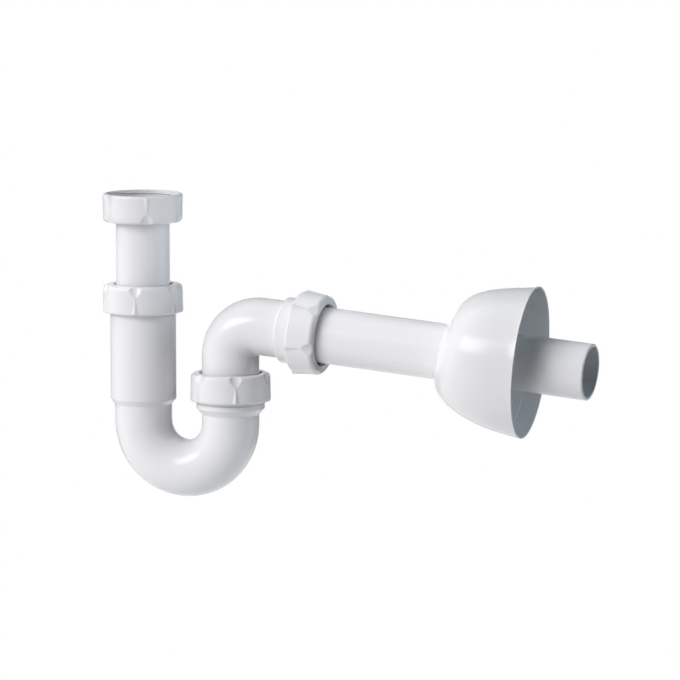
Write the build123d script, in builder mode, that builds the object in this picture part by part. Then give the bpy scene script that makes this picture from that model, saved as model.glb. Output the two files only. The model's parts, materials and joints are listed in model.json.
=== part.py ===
from build123d import *
import os
from math import cos, hypot, radians, sin

# Tubular trap for a basin, in millimetres, +Z up.
# The origin is on the inlet axis at the mouth of the inlet nut, and the outlet falls towards +X.

# Tubes
inlet_tube_radius = 15.5
inlet_tube_wall = 1.8
trap_tube_radius = 16.5
trap_wall = 2.0
elbow_radius = 16.5
elbow_wall = 2.0
pipe_radius = 16.0
pipe_wall = 1.7
pipe_edge = 0.4
tube_clearance = 0.5  # radial play of a tube in its socket

# Nuts, one family for all four
nut_wall = 2.15  # round the thread, at the mouth
nut_draft = 0.4  # narrower by this at the closed end
nut_height = 16.2
nut_thread_play = 1.65  # from a collar's crests to the bottom of the nut's thread
nut_thread_length = 8.2
nut_relief = 0.3  # the bore is narrower by this behind the thread
nut_web = 3.2  # thickness of the closed end
nut_hole_gap = 1.8  # radial gap round the tube
nut_face_gap = 0.15  # between the closed end and what it presses on
nut_closed_edge = 2.4
nut_mouth_edge = 1.4
rib_count = 6
rib_start = 0.8
rib_length = 12.0
rib_height = 1.1
rib_half_width = 2.0
rib_section_height = 1.5
dimple_start = 10.4  # from the nut's mouth
dimple_depth = 2.0
dimple_radius = 6.5
# Degrees that each nut has been turned, from a ridge at the front
inlet_nut_turn = -28.5
socket_nut_turn = 11.0
elbow_nut_turn = 29.0
outlet_nut_turn = 15.0

# Threaded collars and cone seals
collar_rim = 0.5  # round the seal seat of the widest tube
collar_height = 10.0  # from the nut's mouth to the collar's end
collar_hidden = 1.0  # the plain ring below it ends this far inside the nut
seat_width = 1.9
seat_length = 4.0
seat_gap = 0.25
seal_clearance = 0.3
seal_side_gap = 0.5
seal_nose = 3.0

# Inlet tube: flange and washer inside the inlet nut
flange_gap = 0.45
flange_thickness = 2.65
washer_set_back = 0.9  # the washer's hole is this much wider than the tube's bore

# Lengths down the inlet leg
inlet_tube_showing = 36.0
inlet_tube_insertion = 24.6  # how far the tube reaches below the mouth of the socket's nut
socket_wall = 3.0
socket_showing = 50.0
socket_shoulder = 3.2
socket_floor = 1.6  # the bore ends this far above the foot of the shoulder
left_leg = 9.0

# Bend and right leg
bend_radius = 27.0
right_leg = 5.4
bell_height = 3.8
bell_step = 0.3  # the bell stands out from the collar by this
ring_height = 2.6
ring_to_nut = 1.5
spigot_end_gap = 2.5
spigot_seat = 12.5  # depth of the right leg's socket below the collar's end

# Elbow
elbow_leg_showing = 9.8
elbow_bend_radius = 17.5
outlet_fall = 5.0  # degrees below level
elbow_run = 14.7
elbow_ring_step = 2.3
elbow_ring_to_nut = 8.2
elbow_ring_edge = 0.6
pipe_stop = 16.0  # depth of the elbow's socket below the collar's end
pipe_end_gap = 2.5

# Outlet pipe and wall rosette
pipe_showing = 158.4
pipe_past_rosette = 36.8
rosette_depth = 51.3  # from the middle of the hole in the nose to the rim, as all depths here
rosette_rim_radius = 43.0
rosette_mid_radius = 39.7
rosette_mid_depth = 31.3
rosette_shoulder_radius = 33.4
rosette_shoulder_depth = 13.8
rosette_cap_radius = 26.0
rosette_cap_depth = 4.6
rosette_wall = 1.7
rosette_rim_wall = 1.1
rosette_rim_band = 10.0  # the wall is thinner this far from the rim
rosette_clearance = 0.5
rosette_lip = 1.0  # flat round the hole in the nose
rosette_lean = 4.7  # degrees that the loose rosette leans on the pipe
nose_droop = 7.9  # degrees that the soft nose is tipped down, out of line with the bell
nose_swing = 6.8  # degrees that it is swung to the back
cap_share = 0.65  # share of both that the cap behind the hole takes

# Radii worked out from the tubes and walls above
widest_tube = max(inlet_tube_radius, elbow_radius, pipe_radius)
collar_radius = widest_tube + tube_clearance + seat_width + collar_rim
nut_thread_radius = collar_radius + nut_thread_play
nut_cavity_radius = nut_thread_radius - nut_relief
nut_radius = nut_thread_radius + nut_wall
flange_radius = nut_cavity_radius - flange_gap
inlet_bore_radius = inlet_tube_radius - inlet_tube_wall
washer_hole_radius = inlet_bore_radius + washer_set_back
socket_bore_radius = inlet_tube_radius + tube_clearance
socket_radius = socket_bore_radius + socket_wall
bell_bore_radius = elbow_radius + tube_clearance
bell_radius = collar_radius + bell_step
elbow_ring_radius = elbow_radius + elbow_ring_step
pipe_bore_radius = pipe_radius + tube_clearance
rosette_hole_radius = pipe_radius + rosette_clearance

# Places worked out from the lengths above
leg_spacing = 2 * bend_radius
web_seat = nut_height - nut_web
pressed_face = web_seat - nut_face_gap
inlet_nut_foot = -nut_height
socket_nut_mouth = inlet_nut_foot - inlet_tube_showing - nut_height
inlet_tube_end = inlet_tube_insertion - socket_nut_mouth
socket_foot = socket_nut_mouth - socket_showing
shoulder_foot = socket_foot - socket_shoulder
bend_level = shoulder_foot - left_leg
bell_foot = bend_level + right_leg
ring_foot = bell_foot + bell_height
ring_top = ring_foot + ring_height
elbow_nut_mouth = ring_top + ring_to_nut
elbow_bend_level = elbow_nut_mouth + nut_height + elbow_leg_showing
elbow_turn = 90 + outlet_fall


def elbow_point(turn):
    # Centreline of the elbow's bend after it has turned by this many degrees
    return Vector(
        leg_spacing + elbow_bend_radius * (1 - cos(radians(turn))),
        0,
        elbow_bend_level + elbow_bend_radius * sin(radians(turn)),
    )


outlet_start = elbow_point(elbow_turn)
outlet_direction = Vector(cos(radians(outlet_fall)), 0, -sin(radians(outlet_fall)))
outlet_nut_mouth = elbow_run + elbow_ring_to_nut
pipe_inner_end = outlet_nut_mouth + collar_height - pipe_stop + pipe_end_gap
pipe_outer_end = outlet_nut_mouth + nut_height + pipe_showing
rosette_nose = pipe_outer_end - pipe_past_rosette - rosette_depth * cos(radians(rosette_lean))


def upright(x, z):
    # Plane across a leg, facing up, with local x towards the front
    return Plane(origin=(x, 0, z), x_dir=(0, -1, 0), z_dir=(0, 0, 1))


def along_outlet(distance):
    # Plane across the outlet, this far along it from the end of the elbow's bend
    return Plane(
        origin=outlet_start + outlet_direction * distance,
        x_dir=(0, -1, 0),
        z_dir=outlet_direction,
    )


def axial_plane(seat):
    # Plane through the seat's axis: local x is the radius, local y runs along the axis
    return Plane(origin=seat.origin, x_dir=seat.x_dir, z_dir=seat.x_dir.cross(seat.z_dir))


def turn_profile(seat, profile, mode=Mode.ADD):
    with BuildSketch(axial_plane(seat)) as section:
        with BuildLine():
            Polyline(*profile, close=True)
        make_face()
    revolve(section.sketch, axis=Axis(seat.origin, seat.z_dir), mode=mode)


def round_run(path, radius, mode=Mode.ADD):
    with BuildSketch(Plane(origin=path @ 0, z_dir=path % 0)) as section:
        Circle(radius)
    sweep(section.sketch, path=path, mode=mode)


def union_nut(seat, tube_radius, turned, label):
    # The seat is at the nut's mouth and faces its closed end
    hole_radius = tube_radius + nut_hole_gap
    closed_radius = nut_radius - nut_draft
    tip_radius = nut_radius - nut_draft * rib_length / nut_height
    dimple_rim_radius = nut_radius - nut_draft * dimple_start / nut_height
    with BuildPart() as nut:
        with BuildSketch(axial_plane(seat)):
            with BuildLine():
                Polyline(
                    (hole_radius, nut_height),
                    (closed_radius, nut_height),
                    (nut_radius, 0),
                    (nut_thread_radius, 0),
                    (nut_thread_radius, nut_thread_length),
                    (nut_cavity_radius, nut_thread_length),
                    (nut_cavity_radius, web_seat),
                    (hole_radius, web_seat),
                    close=True,
                )
            make_face()
            fillet(vertices().group_by(Axis.Y)[-1].sort_by(Axis.X)[-1], nut_closed_edge)
            fillet(vertices().group_by(Axis.Y)[0].sort_by(Axis.X)[-1], nut_mouth_edge)
        revolve(axis=Axis(seat.origin, seat.z_dir))
        for index in range(rib_count):
            angle = turned + index * 360 / rib_count
            outward = seat.x_dir * cos(radians(angle)) + seat.y_dir * sin(radians(angle))
            tangent = outward.cross(seat.z_dir)
            rib_foot = seat.origin + outward * (nut_radius + rib_height) + seat.z_dir * rib_start
            rib_tip = seat.origin + outward * tip_radius + seat.z_dir * rib_length
            dimple_top = seat.origin + outward * dimple_rim_radius + seat.z_dir * dimple_start
            dimple_end = (
                seat.origin + outward * (closed_radius - dimple_depth) + seat.z_dir * nut_height
            )
            # Ridge that runs out towards the closed end
            ridge = rib_tip - rib_foot
            section_half = rib_half_width * rib_section_height / rib_height
            with BuildSketch(Plane(origin=rib_foot, x_dir=tangent, z_dir=ridge)):
                Polygon(
                    (0, 0),
                    (-section_half, -rib_section_height),
                    (section_half, -rib_section_height),
                    align=None,
                )
            extrude(amount=ridge.length)
            # Round dimple that cuts the ridge's tip and runs out over the closed edge
            valley = dimple_end - dimple_top
            with BuildSketch(Plane(origin=dimple_top, x_dir=tangent, z_dir=valley)):
                with Locations((0, dimple_radius)):
                    Circle(dimple_radius)
            extrude(amount=2 * valley.length, mode=Mode.SUBTRACT)
    nut.part.label = label
    return nut.part


def socket_cut(seat, bore_radius, depth):
    # Bore of a socket with its seal seat; the seat plane is the nut's mouth
    turn_profile(
        seat,
        [
            (0, collar_height - depth),
            (bore_radius, collar_height - depth),
            (bore_radius, collar_height - seat_length),
            (bore_radius + seat_width, collar_height),
            (0, collar_height),
        ],
        mode=Mode.SUBTRACT,
    )


def cone_seal(seat, tube_radius, label):
    # Rubber ring between the nut's closed end and the socket's seat
    inner_radius = tube_radius + seal_clearance
    bore_radius = tube_radius + tube_clearance

    def cone_radius(level):
        return bore_radius + seat_width * (1 + (level - collar_height) / seat_length) - seat_gap

    flange_level = collar_height + seat_gap
    nose_level = collar_height - seal_nose
    with BuildPart() as seal:
        turn_profile(
            seat,
            [
                (inner_radius, pressed_face),
                (nut_cavity_radius - seal_side_gap, pressed_face),
                (nut_cavity_radius - seal_side_gap, flange_level),
                (cone_radius(flange_level), flange_level),
                (cone_radius(nose_level), nose_level),
                (inner_radius, nose_level),
            ],
        )
    seal.part.label = label
    return seal.part


# Seats of the four nuts, each facing the nut's closed end
inlet_seat = Plane(origin=(0, 0, 0), x_dir=(0, -1, 0), z_dir=(0, 0, -1))
socket_seat = upright(0, socket_nut_mouth)
elbow_seat = upright(leg_spacing, elbow_nut_mouth)
outlet_seat = along_outlet(outlet_nut_mouth)

# Inlet nut, washer and tube
inlet_nut = union_nut(inlet_seat, inlet_tube_radius, inlet_nut_turn, "inlet_nut")

flange_level = pressed_face - flange_thickness

with BuildPart() as inlet_washer:
    turn_profile(
        inlet_seat,
        [
            (washer_hole_radius, nut_thread_length),
            (flange_radius, nut_thread_length),
            (flange_radius, flange_level),
            (washer_hole_radius, flange_level),
        ],
    )
inlet_washer.part.label = "inlet_washer"

with BuildPart() as inlet_tube:
    turn_profile(
        inlet_seat,
        [
            (inlet_bore_radius, flange_level),
            (flange_radius, flange_level),
            (flange_radius, pressed_face),
            (inlet_tube_radius, pressed_face),
            (inlet_tube_radius, inlet_tube_end),
            (inlet_bore_radius, inlet_tube_end),
        ],
    )
    chamfer(inlet_tube.edges().group_by(Axis.Z)[0].sort_by(SortBy.RADIUS)[-1], pipe_edge)
inlet_tube.part.label = "inlet_tube"

# Trap body: socket, bend and belled right leg, moulded in one
with BuildLine() as trap_route:
    Line((0, 0, shoulder_foot + socket_floor), (0, 0, bend_level))
    ThreePointArc(
        (0, 0, bend_level),
        (bend_radius, 0, bend_level - bend_radius),
        (leg_spacing, 0, bend_level),
    )
    Line((leg_spacing, 0, bend_level), (leg_spacing, 0, ring_top))
trap_path = trap_route.wire()

with BuildPart() as trap_body:
    round_run(trap_path, trap_tube_radius)
    turn_profile(
        socket_seat,
        [
            (0, collar_height),
            (collar_radius, collar_height),
            (collar_radius, collar_hidden),
            (socket_radius, collar_hidden),
            (socket_radius, -socket_showing),
            (trap_tube_radius, -socket_showing - socket_shoulder),
            (0, -socket_showing - socket_shoulder),
        ],
    )
    turn_profile(
        elbow_seat,
        [
            (0, collar_height),
            (collar_radius, collar_height),
            (collar_radius, -ring_to_nut),
            (bell_radius, -ring_to_nut),
            (bell_radius, ring_foot - elbow_nut_mouth),
            (trap_tube_radius, bell_foot - elbow_nut_mouth),
            (0, bell_foot - elbow_nut_mouth),
        ],
    )
    round_run(trap_path, trap_tube_radius - trap_wall, mode=Mode.SUBTRACT)
    socket_depth = socket_nut_mouth + collar_height - shoulder_foot - socket_floor
    socket_cut(socket_seat, socket_bore_radius, socket_depth)
    socket_cut(elbow_seat, bell_bore_radius, spigot_seat)
trap_body.part.label = "trap_body"

inlet_compression_nut = union_nut(
    socket_seat, inlet_tube_radius, socket_nut_turn, "inlet_compression_nut"
)
inlet_cone_seal = cone_seal(socket_seat, inlet_tube_radius, "inlet_cone_seal")
elbow_compression_nut = union_nut(
    elbow_seat, elbow_radius, elbow_nut_turn, "elbow_compression_nut"
)
elbow_cone_seal = cone_seal(elbow_seat, elbow_radius, "elbow_cone_seal")

# Elbow: spigot, tight bend and socket for the outlet pipe
spigot_end = elbow_nut_mouth + collar_height - spigot_seat + spigot_end_gap
outlet_collar_end = outlet_nut_mouth + collar_height

with BuildLine() as elbow_route:
    Line((leg_spacing, 0, spigot_end), elbow_point(0))
    ThreePointArc(elbow_point(0), elbow_point(elbow_turn / 2), elbow_point(elbow_turn))
    Line(elbow_point(elbow_turn), along_outlet(outlet_collar_end).origin)
elbow_path = elbow_route.wire()

with BuildPart() as outlet_elbow:
    round_run(elbow_path, elbow_radius)
    turn_profile(
        along_outlet(0),
        [
            (0, elbow_run),
            (elbow_ring_radius - elbow_ring_edge, elbow_run),
            (elbow_ring_radius, elbow_run + elbow_ring_edge),
            (elbow_ring_radius, outlet_nut_mouth + collar_hidden),
            (collar_radius, outlet_nut_mouth + collar_hidden),
            (collar_radius, outlet_collar_end),
            (0, outlet_collar_end),
        ],
    )
    round_run(elbow_path, elbow_radius - elbow_wall, mode=Mode.SUBTRACT)
    socket_cut(outlet_seat, pipe_bore_radius, pipe_stop)
outlet_elbow.part.label = "outlet_elbow"

outlet_compression_nut = union_nut(
    outlet_seat, pipe_radius, outlet_nut_turn, "outlet_compression_nut"
)
outlet_cone_seal = cone_seal(outlet_seat, pipe_radius, "outlet_cone_seal")

# Outlet pipe
with BuildPart() as outlet_pipe:
    with BuildSketch(along_outlet(pipe_inner_end)):
        Circle(pipe_radius)
        Circle(pipe_radius - pipe_wall, mode=Mode.SUBTRACT)
    extrude(amount=pipe_outer_end - pipe_inner_end)
    outer_edges = outlet_pipe.edges().filter_by(GeomType.CIRCLE).group_by(SortBy.RADIUS)[-1]
    chamfer(outer_edges, pipe_edge)
outlet_pipe.part.label = "outlet_pipe"

# Wall rosette: a deep bell, loose on the pipe and leaning a little, with a nose out of line
rosette_seat = along_outlet(rosette_nose).rotated((0, 0, rosette_lean))


# Rings round the bell from the hole to the rim: depth, radius and share of the nose's own lean
rosette_rings = [
    (0, rosette_hole_radius + rosette_lip, 1),
    (rosette_cap_depth, rosette_cap_radius, cap_share),
    (rosette_shoulder_depth, rosette_shoulder_radius, 0),
    (rosette_mid_depth, rosette_mid_radius, 0),
    (rosette_depth, rosette_rim_radius, 0),
]


def bell(rings, mode=Mode.ADD):
    sections = []
    for depth, radius, share in rings:
        level = Plane(
            origin=rosette_seat.origin + rosette_seat.z_dir * depth,
            x_dir=rosette_seat.x_dir,
            z_dir=rosette_seat.z_dir,
        )
        with BuildSketch(level.rotated((0, share * nose_droop, share * nose_swing))) as section:
            Circle(radius)
        sections.append(section.sketch)
    loft(sections, mode=mode)


def set_in(rings, wall):
    # The same rings moved in by the wall, square to the line between their neighbours
    inner_rings = []
    for before, ring, after in zip([rings[0], *rings], rings, [*rings[1:], rings[-1]]):
        depth, radius, share = ring
        run = after[0] - before[0]
        climb = after[1] - before[1]
        slant = hypot(run, climb)
        inner_rings.append((depth + wall * climb / slant, radius - wall * run / slant, share))
    return inner_rings


with BuildPart() as wall_rosette:
    bell(rosette_rings)
    bell(set_in(rosette_rings, rosette_wall), mode=Mode.SUBTRACT)
    # Thinner wall next to the rim
    band_slope = (rosette_rim_radius - rosette_mid_radius) / (rosette_depth - rosette_mid_depth)
    turn_profile(
        rosette_seat,
        [
            (0, rosette_depth),
            (rosette_rim_radius - rosette_rim_wall, rosette_depth),
            (
                rosette_rim_radius - rosette_rim_wall - rosette_rim_band * band_slope,
                rosette_depth - rosette_rim_band,
            ),
            (0, rosette_depth - rosette_rim_band),
        ],
        mode=Mode.SUBTRACT,
    )
    with BuildSketch(along_outlet(rosette_nose)):
        Circle(rosette_hole_radius)
    extrude(amount=rosette_depth, both=True, mode=Mode.SUBTRACT)
wall_rosette.part.label = "wall_rosette"

pieces = [
    inlet_nut,
    inlet_washer.part,
    inlet_tube.part,
    inlet_compression_nut,
    inlet_cone_seal,
    trap_body.part,
    elbow_compression_nut,
    elbow_cone_seal,
    outlet_elbow.part,
    outlet_compression_nut,
    outlet_cone_seal,
    outlet_pipe.part,
    wall_rosette.part,
]

os.makedirs("parts", exist_ok=True)
for piece in pieces:
    export_step(piece, f"parts/{piece.label}.step")
    print(piece.label, round(piece.volume), [round(v, 2) for v in piece.bounding_box().size])
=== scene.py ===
import json
from math import cos, pi, radians, sin

import bmesh
import bpy
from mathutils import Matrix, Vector


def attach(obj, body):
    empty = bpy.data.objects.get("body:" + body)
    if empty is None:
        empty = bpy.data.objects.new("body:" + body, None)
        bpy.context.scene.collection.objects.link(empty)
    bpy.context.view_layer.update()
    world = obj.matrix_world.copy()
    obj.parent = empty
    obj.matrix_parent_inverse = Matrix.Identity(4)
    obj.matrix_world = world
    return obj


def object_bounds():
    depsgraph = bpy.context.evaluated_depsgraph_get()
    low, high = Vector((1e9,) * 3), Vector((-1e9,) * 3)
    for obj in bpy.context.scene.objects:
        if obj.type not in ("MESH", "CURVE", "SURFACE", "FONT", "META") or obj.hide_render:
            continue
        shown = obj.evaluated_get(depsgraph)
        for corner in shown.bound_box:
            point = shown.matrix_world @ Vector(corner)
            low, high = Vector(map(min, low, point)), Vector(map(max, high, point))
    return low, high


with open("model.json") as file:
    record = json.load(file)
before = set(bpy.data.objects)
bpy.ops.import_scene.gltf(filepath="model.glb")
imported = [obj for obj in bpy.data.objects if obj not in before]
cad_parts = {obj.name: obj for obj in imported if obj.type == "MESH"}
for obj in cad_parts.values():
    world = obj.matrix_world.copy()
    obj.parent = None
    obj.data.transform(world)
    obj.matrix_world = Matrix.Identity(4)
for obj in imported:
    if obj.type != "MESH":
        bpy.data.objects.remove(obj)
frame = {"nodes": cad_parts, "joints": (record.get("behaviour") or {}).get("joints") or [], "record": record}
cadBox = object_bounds()
nodes = frame["nodes"]
scene = bpy.context.scene
scene.view_settings.view_transform = "Standard"
joints = {joint["name"]: joint for joint in frame["joints"]}
mounts = {mount["name"]: mount for mount in frame["record"]["mounts"]}
print("frame loaded:", len(nodes), "nodes")

# camera at the photo's viewing angle, a long lens aimed at the middle of the trap
view = {
    "azimuth": 20.535,
    "elevation": 7.205,
    "aim": (0.120821, 0.0, -0.07956),
    "distance": 2.8,
    "lens": 261.4,
    "sensor": 36.0,
    "farthest": 100.0,
}


def heading(azimuth, elevation):
    turn, rise = radians(azimuth), radians(elevation)
    return Vector((cos(turn) * cos(rise), sin(turn) * cos(rise), sin(rise)))


def towardsCamera():
    return heading(view["azimuth"] - 90.0, view["elevation"])  # azimuth 0 is straight in front


def makeCamera():
    back = towardsCamera()
    lensData = bpy.data.cameras.new("camera")
    lensData.lens = view["lens"]
    lensData.sensor_width = view["sensor"]
    lensData.clip_end = view["farthest"]
    camera = bpy.data.objects.new("camera", lensData)
    camera.location = Vector(view["aim"]) + back * view["distance"]
    camera.rotation_euler = back.to_track_quat("Z", "Y").to_euler()
    scene.collection.objects.link(camera)
    scene.camera = camera


makeCamera()
print("camera set")

# white plastics: nearly white, with faint clouding, a varied gloss and a fine skin
plastics = {
    "bodyWhite": {  # trap body and elbow, polished mould
        "low": (0.832, 0.832, 0.836), "high": (0.837, 0.837, 0.841), "cloud": 22.0,
        "gloss": (0.1, 0.13), "skin": 1100.0, "skinDepth": 0.00001, "edge": 0.0005,
    },
    "nutWhite": {  # nuts, the mould's skin is a little coarser
        "low": (0.828, 0.828, 0.833), "high": (0.833, 0.833, 0.838), "cloud": 30.0,
        "gloss": (0.18, 0.22), "skin": 1900.0, "skinDepth": 0.000012, "edge": 0.0011,
    },
    "rosetteWhite": {  # thin glossy bell
        "low": (0.763, 0.764, 0.77), "high": (0.768, 0.769, 0.775), "cloud": 18.0,
        "gloss": (0.15, 0.18), "skin": 700.0, "skinDepth": 0.000008, "edge": 0.0004,
    },
}
mouldCoat = {"weight": 0.2, "roughness": 0.12}  # the polish of the mould, on every moulded piece
pipePlastic = {  # drawn tubes, with faint lines along their length
    "low": (0.824, 0.824, 0.83), "high": (0.838, 0.838, 0.843), "lines": 900.0, "stretch": 0.012,
    "gloss": (0.22, 0.27), "lineDepth": 0.000004, "edge": 0.0004,
}
pipeCoat = {"weight": 0.12, "roughness": 0.18}
rubber = {
    "low": (0.018, 0.018, 0.02), "high": (0.04, 0.04, 0.043), "grain": 2600.0, "grainDepth": 0.00008,
    "gloss": (0.55, 0.75), "edge": 0.0003,
}
plasticIor = 1.49
noiseSpan = (0.3, 0.7)  # nearly all of a noise lies between these
cloudDetail = 3.0
fineDetail = 2.0
bumpStrength = 0.6


def startMaterial(name):
    material = bpy.data.materials.new(name)
    material.use_nodes = True
    tree = material.node_tree
    shader = tree.nodes["Principled BSDF"]
    shader.inputs["IOR"].default_value = plasticIor
    return material, tree, shader


def addNoise(tree, place, scale, detail):
    noise = tree.nodes.new("ShaderNodeTexNoise")
    noise.inputs["Scale"].default_value = scale
    noise.inputs["Detail"].default_value = detail
    tree.links.new(place, noise.inputs["Vector"])
    return noise.outputs["Fac"]


def mixColours(tree, factor, low, high):
    ramp = tree.nodes.new("ShaderNodeValToRGB")
    ramp.color_ramp.elements[0].position = noiseSpan[0]
    ramp.color_ramp.elements[1].position = noiseSpan[1]
    ramp.color_ramp.elements[0].color = (*low, 1.0)
    ramp.color_ramp.elements[1].color = (*high, 1.0)
    tree.links.new(factor, ramp.inputs["Fac"])
    return ramp.outputs["Color"]


def spread(tree, factor, low, high):
    remap = tree.nodes.new("ShaderNodeMapRange")
    remap.inputs["From Min"].default_value = noiseSpan[0]
    remap.inputs["From Max"].default_value = noiseSpan[1]
    remap.inputs["To Min"].default_value = low
    remap.inputs["To Max"].default_value = high
    tree.links.new(factor, remap.inputs["Value"])
    return remap.outputs["Result"]


def addBump(tree, shader, height, depth, edge):
    # moulded edges are a little round, also where the mesh is sharp
    soft = tree.nodes.new("ShaderNodeBevel")
    soft.inputs["Radius"].default_value = edge
    bump = tree.nodes.new("ShaderNodeBump")
    tree.links.new(soft.outputs["Normal"], bump.inputs["Normal"])
    bump.inputs["Distance"].default_value = depth
    bump.inputs["Strength"].default_value = bumpStrength
    tree.links.new(height, bump.inputs["Height"])
    tree.links.new(bump.outputs["Normal"], shader.inputs["Normal"])


def addCoat(shader, coat):
    shader.inputs["Coat Weight"].default_value = coat["weight"]
    shader.inputs["Coat Roughness"].default_value = coat["roughness"]


def makePlastic(name):
    look = plastics[name]
    material, tree, shader = startMaterial(name)
    place = tree.nodes.new("ShaderNodeTexCoord").outputs["Object"]
    cloud = addNoise(tree, place, look["cloud"], cloudDetail)
    tree.links.new(mixColours(tree, cloud, look["low"], look["high"]), shader.inputs["Base Color"])
    tree.links.new(spread(tree, cloud, *look["gloss"]), shader.inputs["Roughness"])
    skin = addNoise(tree, place, look["skin"], fineDetail)
    addBump(tree, shader, skin, look["skinDepth"], look["edge"])
    addCoat(shader, mouldCoat)
    return material


def makeTubePlastic(name, axis):
    material, tree, shader = startMaterial(name)
    place = tree.nodes.new("ShaderNodeTexCoord").outputs["Object"]
    # lay the tube's axis along local Z, then draw the pattern out along it
    turned = tree.nodes.new("ShaderNodeMapping")
    turned.inputs["Rotation"].default_value = Vector(axis).rotation_difference((0, 0, 1)).to_euler()
    tree.links.new(place, turned.inputs["Vector"])
    drawn = tree.nodes.new("ShaderNodeMapping")
    drawn.inputs["Scale"].default_value = (1.0, 1.0, pipePlastic["stretch"])
    tree.links.new(turned.outputs["Vector"], drawn.inputs["Vector"])
    lines = addNoise(tree, drawn.outputs["Vector"], pipePlastic["lines"], fineDetail)
    colour = mixColours(tree, lines, pipePlastic["low"], pipePlastic["high"])
    tree.links.new(colour, shader.inputs["Base Color"])
    tree.links.new(spread(tree, lines, *pipePlastic["gloss"]), shader.inputs["Roughness"])
    addBump(tree, shader, lines, pipePlastic["lineDepth"], pipePlastic["edge"])
    addCoat(shader, pipeCoat)
    return material


def makeRubber():
    material, tree, shader = startMaterial("sealRubber")
    place = tree.nodes.new("ShaderNodeTexCoord").outputs["Object"]
    grain = addNoise(tree, place, rubber["grain"], cloudDetail)
    tree.links.new(mixColours(tree, grain, rubber["low"], rubber["high"]), shader.inputs["Base Color"])
    tree.links.new(spread(tree, grain, *rubber["gloss"]), shader.inputs["Roughness"])
    addBump(tree, shader, grain, rubber["grainDepth"], rubber["edge"])
    return material


outletAxis = joints["pipe_insertion"]["axis"]
finishes = {name: makePlastic(name) for name in plastics}
finishes["inletTubeWhite"] = makeTubePlastic("inletTubeWhite", (0, 0, 1))
finishes["outletPipeWhite"] = makeTubePlastic("outletPipeWhite", outletAxis)
finishes["sealRubber"] = makeRubber()


def finishFor(node):
    if node.endswith("_seal") or node.endswith("_washer"):
        return finishes["sealRubber"]
    if node.endswith("_nut"):
        return finishes["nutWhite"]
    if node == "inlet_tube":
        return finishes["inletTubeWhite"]
    if node == "outlet_pipe":
        return finishes["outletPipeWhite"]
    if node == "wall_rosette":
        return finishes["rosetteWhite"]
    return finishes["bodyWhite"]


for nodeName, nodeObject in nodes.items():
    nodeObject.data.materials.clear()
    nodeObject.data.materials.append(finishFor(nodeName))
print("finishes:", len(finishes))

# screw threads, one ridge wound round each collar and inside each nut
thread = {
    "pitch": 0.002309,
    "nutRadius": mounts["inlet_thread"]["dims"]["r_mm"] / 1000,
    "nutLength": mounts["inlet_thread"]["dims"]["length_mm"] / 1000,
    "collarRadius": 0.0194,
    "collarStart": 0.0016,
    "collarEnd": 0.0094,
    "collarHeight": 0.0008,
    "nutStart": 0.0010,
    "nutHeight": 0.0006,
    "sunk": 0.00006,  # the ridge's foot lies this far inside the wall
    "rootWidth": 0.0015,
    "crestWidth": 0.0005,
    "stepsPerTurn": 72,
    "leadSteps": 18,  # the ridge grows and dies out over these steps
}


def axisFrame(axis):
    along = Vector(axis).normalized()
    across = along.orthogonal().normalized()
    return along, across, along.cross(across)


def threadRidge(name, origin, axis, radius, start, end, height):
    # a positive height stands out from a collar, a negative one stands in from a nut's wall
    along, across, third = axisFrame(axis)
    foot = thread["sunk"] if height < 0 else -thread["sunk"]
    steps = int((end - start) / thread["pitch"] * thread["stepsPerTurn"])
    mesh = bmesh.new()
    rings = []
    for step in range(steps + 1):
        angle = 2 * pi * step / thread["stepsPerTurn"]
        outward = across * cos(angle) + third * sin(angle)
        level = start + thread["pitch"] * step / thread["stepsPerTurn"]
        grown = min(1.0, step / thread["leadSteps"], (steps - step) / thread["leadSteps"])
        crest = foot + (height - foot) * grown
        section = [
            (foot, -thread["rootWidth"] / 2),
            (crest, -thread["crestWidth"] / 2),
            (crest, thread["crestWidth"] / 2),
            (foot, thread["rootWidth"] / 2),
        ]
        ring = []
        for rise, side in section:
            point = Vector(origin) + outward * (radius + rise) + along * (level + side)
            ring.append(mesh.verts.new(point))
        rings.append(ring)
    for first, second in zip(rings[:-1], rings[1:]):
        for index in range(4):
            after = (index + 1) % 4
            mesh.faces.new((first[index], first[after], second[after], second[index]))
    mesh.faces.new(rings[0][::-1])
    mesh.faces.new(rings[-1])
    bmesh.ops.recalc_face_normals(mesh, faces=mesh.faces)
    data = bpy.data.meshes.new(name)
    mesh.to_mesh(data)
    mesh.free()
    ridge = bpy.data.objects.new(name, data)
    scene.collection.objects.link(ridge)
    return ridge


def addThread(name, body, origin, axis, radius, start, end, height, finish):
    ridge = threadRidge(name, origin, axis, radius, start, end, height)
    ridge.data.materials.append(finishes[finish])
    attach(ridge, body)


def nutThread(name, body, origin, axis):
    addThread(
        name, body, origin, axis, thread["nutRadius"], thread["nutStart"],
        thread["nutLength"] - thread["nutStart"], -thread["nutHeight"], "nutWhite",
    )


nutThread("inletNutThread", "inlet_nut", mounts["inlet_thread"]["pos_m"], (0, 0, -1))
collarBodies = {"inlet": "trap_body", "elbow": "trap_body", "outlet": "outlet_elbow"}
for place, collarBody in collarBodies.items():
    screw = joints[f"{place}_nut_screw"]
    nutThread(f"{place}CompressionThread", screw["child"], screw["pos_m"], screw["axis"])
    addThread(
        f"{place}CollarThread", collarBody, screw["pos_m"], screw["axis"], thread["collarRadius"],
        thread["collarStart"], thread["collarEnd"], thread["collarHeight"],
        "bodyWhite",
    )
print("threads wound")

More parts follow.
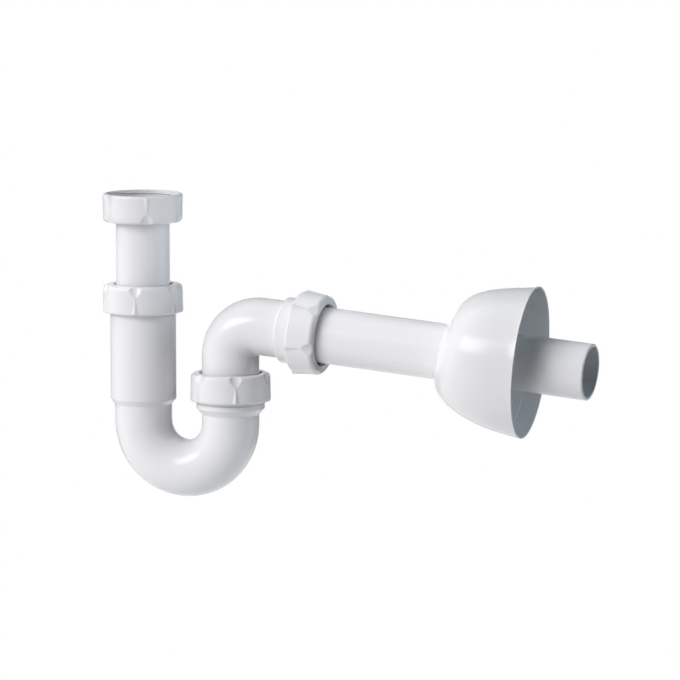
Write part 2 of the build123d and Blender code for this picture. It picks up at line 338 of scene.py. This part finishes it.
# pale floor well below the trap, which hangs from the basin, lit from the left as a product shot is
studio = {
    "floorDrop": 0.4,
    "floorMiddle": (-0.9, -0.3),
    "floorSize": 3.0,
    "floorColour": (0.58, 0.58, 0.58),
    "floorLift": 0.65,  # added for the camera, so that the paper reads as white
    "ambient": (0.02, 0.022, 0.025),
    "mattRoughness": 0.9,  # of the paper and the cloth
}
glows = {  # soft light from round the studio: where its middle is, how tight and how strong it is
    "key": {"azimuth": -125.0, "elevation": 19.0, "tight": 40.0, "colour": (3.5, 3.5, 3.75)},
    "keyHigh": {"azimuth": -118.0, "elevation": 36.0, "tight": 40.0, "colour": (6.2, 6.3, 6.4)},
    "keyLow": {"azimuth": -125.0, "elevation": -15.0, "tight": 30.0, "colour": (4.2, 4.05, 4.05)},
    "left": {"azimuth": 169.0, "elevation": 52.0, "tight": 40.0, "colour": (9.2, 9.3, 9.2)},
    "leftLow": {"azimuth": 175.0, "elevation": 2.0, "tight": 30.0, "colour": (1.0, 0.95, 0.92)},
    "right": {"azimuth": 5.0, "elevation": 2.0, "tight": 40.0, "colour": (2.8, 3.2, 3.6)},
    "rightBack": {"azimuth": 25.0, "elevation": 5.0, "tight": 40.0, "colour": (6.0, 6.1, 6.3)},
    "rightHigh": {"azimuth": 10.0, "elevation": 30.0, "tight": 40.0, "colour": (0.3, 1.0, 1.4)},
}
lamps = {  # a softbox at the left, and white cards close to the trap, above and below the picture
    "key": {
        "place": (-1.092, -1.347, 0.766), "aim": view["aim"], "width": 1.1, "height": 0.75,
        "power": 8.8, "colour": (1.0, 1.0, 1.0), "spread": 180.0, "shines": True,
    },
    "cardHigh": {
        "place": (0.17, -0.1, 0.09), "aim": (0.0, 0.0, -0.03), "width": 0.12, "height": 0.12,
        "power": 0.06, "colour": (1.0, 0.88, 0.9), "spread": 180.0, "shines": False,
    },
    "cardLow": {
        "place": (0.0, -0.36, -0.42), "aim": (0.13, 0.0, -0.1), "width": 0.3, "height": 0.3,
        "power": 0.38, "colour": (1.0, 0.97, 0.99), "spread": 180.0, "shines": False,
    },
    "cardRosette": {
        "place": (0.16, -0.08, -0.3), "aim": (0.185, 0.0, -0.11), "width": 0.1, "height": 0.1,
        "power": 0.006, "colour": (1.0, 0.98, 0.98), "spread": 45.0, "shines": False,
    },
}
flags = {  # dark cloth round the backdrop, out of the picture, that darkens the edges of glossy pieces
    "behind": 1.0,
    "window": 0.3,
    "reach": 3.0,
    "shades": (0.3, 0.15, 0.4, 0.55),  # below, right, above, left
}


def seenRays(tree):
    # rays that see the paper itself: camera, mirror and glass
    rays = tree.nodes.new("ShaderNodeLightPath")
    either = rays.outputs["Is Camera Ray"]
    for name in ("Is Glossy Ray", "Is Transmission Ray"):
        wider = tree.nodes.new("ShaderNodeMath")
        wider.operation = "MAXIMUM"
        tree.links.new(either, wider.inputs[0])
        tree.links.new(rays.outputs[name], wider.inputs[1])
        either = wider.outputs["Value"]
    return either


def squareCorners(middle, right, up, half):
    signs = [(-1, -1), (1, -1), (1, 1), (-1, 1)]
    return [middle + right * (x * half) + up * (y * half) for x, y in signs]


def makeMatt(name, colour):
    material, tree, shader = startMaterial(name)
    shader.inputs["Base Color"].default_value = (*colour, 1.0)
    shader.inputs["Roughness"].default_value = studio["mattRoughness"]
    shader.inputs["Specular IOR Level"].default_value = 0.0
    return material, tree, shader


def makeFloor():
    middle = Vector((*studio["floorMiddle"], cadBox[0].z - studio["floorDrop"]))
    corners = squareCorners(middle, Vector((1, 0, 0)), Vector((0, 1, 0)), studio["floorSize"] / 2)
    data = bpy.data.meshes.new("floor")
    data.from_pydata(corners, [], [(0, 1, 2, 3)])
    floor = bpy.data.objects.new("floor", data)
    scene.collection.objects.link(floor)
    material, tree, shader = makeMatt("paper", studio["floorColour"])
    shader.inputs["Emission Color"].default_value = (1.0, 1.0, 1.0, 1.0)
    lift = tree.nodes.new("ShaderNodeMath")
    lift.operation = "MULTIPLY"
    lift.inputs[1].default_value = studio["floorLift"]
    tree.links.new(seenRays(tree), lift.inputs[0])
    tree.links.new(lift.outputs["Value"], shader.inputs["Emission Strength"])
    data.materials.append(material)


def addGlow(tree, direction, light, glow):
    facing = tree.nodes.new("ShaderNodeVectorMath")
    facing.operation = "DOT_PRODUCT"
    facing.inputs[1].default_value = heading(glow["azimuth"], glow["elevation"])
    tree.links.new(direction, facing.inputs[0])
    away = tree.nodes.new("ShaderNodeMath")
    away.operation = "MULTIPLY_ADD"
    away.inputs[1].default_value = glow["tight"]
    away.inputs[2].default_value = -glow["tight"]
    tree.links.new(facing.outputs["Value"], away.inputs[0])
    falloff = tree.nodes.new("ShaderNodeMath")
    falloff.operation = "EXPONENT"
    tree.links.new(away.outputs["Value"], falloff.inputs[0])
    tint = tree.nodes.new("ShaderNodeVectorMath")
    tint.operation = "SCALE"
    tint.inputs["Vector"].default_value = glow["colour"]
    tree.links.new(falloff.outputs["Value"], tint.inputs["Scale"])
    both = tree.nodes.new("ShaderNodeVectorMath")
    both.inputs[0].default_value = studio["ambient"]
    if light:
        tree.links.new(light, both.inputs[0])
    tree.links.new(tint.outputs["Vector"], both.inputs[1])
    return both.outputs["Vector"]


def makeWorld():
    world = bpy.data.worlds.new("studio")
    scene.world = world
    world.use_nodes = True
    tree = world.node_tree
    direction = tree.nodes.new("ShaderNodeTexCoord").outputs["Generated"]
    light = None
    for glow in glows.values():
        light = addGlow(tree, direction, light, glow)
    paper = tree.nodes.new("ShaderNodeMix")
    paper.data_type = "RGBA"
    paper.inputs["B"].default_value = (1.0, 1.0, 1.0, 1.0)
    tree.links.new(seenRays(tree), paper.inputs["Factor"])
    tree.links.new(light, paper.inputs["A"])
    tree.links.new(paper.outputs["Result"], tree.nodes["Background"].inputs["Color"])


def makeFlags():
    back = towardsCamera()
    right = heading(view["azimuth"], 0.0)
    up = back.cross(right)
    middle = Vector(view["aim"]) - back * flags["behind"]
    corners = squareCorners(middle, right, up, flags["reach"])
    corners += squareCorners(middle, right, up, flags["window"])
    sides = [(i, (i + 1) % 4, (i + 1) % 4 + 4, i + 4) for i in range(4)]
    data = bpy.data.meshes.new("flags")
    data.from_pydata(corners, [], sides)
    cloth = bpy.data.objects.new("flags", data)
    scene.collection.objects.link(cloth)
    for index, shade in enumerate(flags["shades"]):
        material, tree, shader = makeMatt(f"cloth{index}", (shade, shade, shade))
        data.materials.append(material)
        data.polygons[index].material_index = index
    cloth.visible_camera = False
    cloth.visible_diffuse = False
    cloth.visible_transmission = False
    cloth.visible_shadow = False


def makeLamp(name):
    lamp = lamps[name]
    data = bpy.data.lights.new(name, "AREA")
    data.shape = "RECTANGLE"
    data.size = lamp["width"]
    data.size_y = lamp["height"]
    data.energy = lamp["power"]
    data.color = lamp["colour"]
    data.spread = radians(lamp["spread"])
    light = bpy.data.objects.new(name, data)
    light.location = lamp["place"]
    back = Vector(lamp["place"]) - Vector(lamp["aim"])
    light.rotation_euler = back.to_track_quat("Z", "Y").to_euler()
    light.visible_camera = False
    light.visible_glossy = lamp["shines"]
    scene.collection.objects.link(light)


makeFloor()
makeFlags()
makeWorld()
for lampName in lamps:
    makeLamp(lampName)
print("studio lit")
